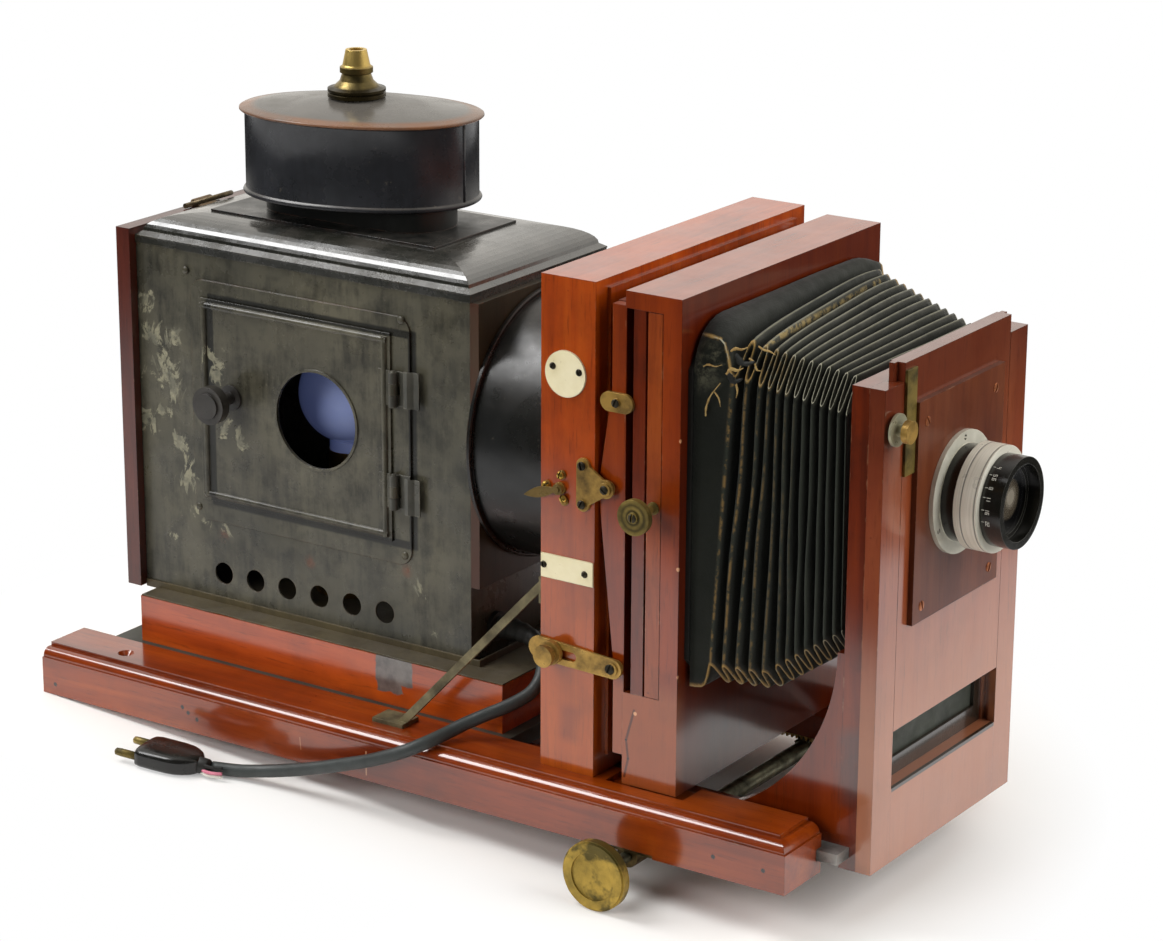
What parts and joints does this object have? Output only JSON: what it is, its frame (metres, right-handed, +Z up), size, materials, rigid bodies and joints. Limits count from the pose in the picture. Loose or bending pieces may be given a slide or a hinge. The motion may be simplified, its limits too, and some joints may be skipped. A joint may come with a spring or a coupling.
{
  "type": "magic lantern",
  "caption": "Horizontal photographic lantern: black iron lamp house, condenser drum, tilting negative stage, bellows and a racked lens front on mahogany rails.",
  "frame": {"origin": "under the middle of the object's length and width, level with the foot of the two focusing knobs", "axes": "+X along the optical axis towards the lens, +Z up, -Y the side with the lamp house door"},
  "size_m": [0.5724, 0.3213, 0.4035],
  "materials": {
    "mahogany": "satin",
    "mahogany_frame": "polished",
    "mahogany_front": "satin",
    "mahogany_dark": "satin",
    "carrier_wood": "satin",
    "lens_board_wood": "satin",
    "stained_board": "matt",
    "black_board": "matt",
    "inner_black": "matt",
    "black_iron": "satin",
    "lamp_iron": "worn",
    "roof_iron": "worn",
    "door_iron": "worn",
    "cowl_iron": "gloss",
    "tray_metal": "worn",
    "hinge_iron": "satin",
    "ring_iron": "dull",
    "brass": "aged",
    "old_brass": "tarnished",
    "knob_brass": "patchy",
    "gland_brass": "aged",
    "holder_brass": "aged",
    "cell_metal": "tarnished",
    "stay_metal": "dull",
    "bearing_metal": "tarnished",
    "shaft_metal": "dull",
    "steel": "dull",
    "condenser_glass": "clear",
    "lens_glass": "coated",
    "opal_glass": "opal",
    "ivorine": "yellowed",
    "bellows_cloth": "waxed",
    "lens_black": "gloss",
    "lens_silver": "satin",
    "black_rubber": "matt",
    "cord_rubber": "smooth",
    "plug_bakelite": "moulded",
    "pull_black": "turned"
  },
  "bodies": {
    "base": {"rail_near": "mahogany", "rail_far": "mahogany", "bed_board": "stained_board", "cross_board": "stained_board", "stays": "stay_metal", "shaft_bearings": "bearing_metal", "condenser_frame": "mahogany_frame", "condenser_drum": "black_iron", "condenser_cell": "cell_metal", "condenser_lenses": "condenser_glass", "plaques": "ivorine", "pivot_brackets": "brass", "catch_plate": "brass"},
    "catch": {"catch_lever": "brass"},
    "link_clamp": {"clamp_screw": "brass"},
    "pinion": {"focus_shaft": "shaft_metal", "focus_knobs": "knob_brass"},
    "stage": {"stage_frame": "mahogany_frame", "stage_back": "mahogany_dark", "stage_cheeks": "mahogany_frame", "fixed_leaf": "mahogany_dark", "bellows_flange": "black_board", "bellows": "bellows_cloth"},
    "negative_carrier": {"carrier": "carrier_wood", "carrier_knob": "old_brass"},
    "stage_button": {"turn_button": "brass"},
    "stage_link": {"tilt_link": "brass"},
    "front": {"runners": "mahogany_dark", "runner_tongues": "steel", "racks": "brass", "front_frame": "mahogany_dark", "front_lips": "mahogany_front", "gussets": "mahogany_dark", "lower_board": "mahogany_front", "inner_board": "inner_black"},
    "rise": {"rising_panel": "mahogany_front", "edge_plate": "old_brass", "lens_board": "lens_board_wood", "lens_barrel": "lens_black", "lens_glass": "lens_glass"},
    "rise_clamp": {"rise_screw": "brass"},
    "iris": {"iris_ring": "lens_silver"},
    "lamphouse": {"plinth": "mahogany", "lamp_tray": "tray_metal", "lamp_body": "lamp_iron", "lamp_roof": "roof_iron", "chimney_neck": "black_iron", "front_board": "mahogany_dark", "lamp_holder": "holder_brass", "bulb": "opal_glass", "cord_gland": "black_rubber", "mains_cord": "cord_rubber", "plug": "plug_bakelite", "door_hinges": "hinge_iron"},
    "lamp_door": {"door": "door_iron", "door_pull": "pull_black"},
    "back": {"back_board": "mahogany_dark"},
    "ring": {"d_ring": "ring_iron"},
    "cowl": {"chimney_cowl": "cowl_iron", "cowl_gland": "gland_brass"}
  },
  "joints": [
    {"name": "focus", "type": "slide", "parent": "base", "child": "front", "axis": [1, 0, 0], "range_m": [-0.02, 0.11], "deforming": ["bellows"]},
    {"name": "pinion_turn", "type": "hinge", "parent": "base", "child": "pinion", "pos_m": [0.12275, 0, 0.0193], "axis": [0, 1, 0], "range_deg": [-195, 1055]},
    {"name": "stage_tilt", "type": "hinge", "parent": "base", "child": "stage", "pos_m": [0.09925, 0, 0.2156], "axis": [0, 1, 0], "range_deg": [-1.7, 1.7], "deforming": ["bellows"]},
    {"name": "carrier_slide", "type": "slide", "parent": "stage", "child": "negative_carrier", "axis": [0, 1, 0], "range_m": [-0.15, 0]},
    {"name": "button_turn", "type": "hinge", "parent": "stage", "child": "stage_button", "pos_m": [0.10415, -0.1026, 0.2628], "axis": [0, 1, 0], "range_deg": [-90, 90]},
    {"name": "link_turn", "type": "hinge", "parent": "stage", "child": "stage_link", "pos_m": [0.10475, -0.105, 0.1173], "axis": [0, 1, 0], "range_deg": [-3, 3]},
    {"name": "link_clamp_turn", "type": "hinge", "parent": "base", "child": "link_clamp", "pos_m": [0.06675, -0.11, 0.1192], "axis": [0, 1, 0], "range_deg": [-180, 180]},
    {"name": "catch_turn", "type": "hinge", "parent": "base", "child": "catch", "pos_m": [0.07025, -0.107, 0.2108], "axis": [0, 1, 0], "range_deg": [-40, 60]},
    {"name": "rise_slide", "type": "slide", "parent": "front", "child": "rise", "axis": [0, 0, 1], "range_m": [-0.032, 0.006]},
    {"name": "rise_clamp_turn", "type": "hinge", "parent": "front", "child": "rise_clamp", "pos_m": [0.25375, -0.0682, 0.2648], "axis": [1, 0, 0], "range_deg": [-180, 180]},
    {"name": "iris_turn", "type": "hinge", "parent": "rise", "child": "iris", "pos_m": [0.26775, 0, 0.2148], "axis": [1, 0, 0], "range_deg": [-60, 60]},
    {"name": "lamphouse_slide", "type": "slide", "parent": "base", "child": "lamphouse", "axis": [1, 0, 0], "range_m": [-0.014, 0]},
    {"name": "door_swing", "type": "hinge", "parent": "lamphouse", "child": "lamp_door", "pos_m": [-0.06575, -0.0692, 0.204], "axis": [0, 0, 1], "range_deg": [0, 110]},
    {"name": "back_slide", "type": "slide", "parent": "lamphouse", "child": "back", "axis": [0, 0, 1], "range_m": [0, 0.2]},
    {"name": "ring_swing", "type": "hinge", "parent": "back", "child": "ring", "pos_m": [-0.25735, 0, 0.3001], "axis": [0, 1, 0], "range_deg": [-155, 0]},
    {"name": "cowl_lift", "type": "slide", "parent": "lamphouse", "child": "cowl", "axis": [0, 0, 1], "range_m": [0, 0.06]}
  ],
  "couplings": [
    {"joint": "pinion_turn", "follows": "focus", "rad_per_m": 166.75},
    {"joint": "link_turn", "follows": "stage_tilt", "ratio": -0.68}
  ]
}
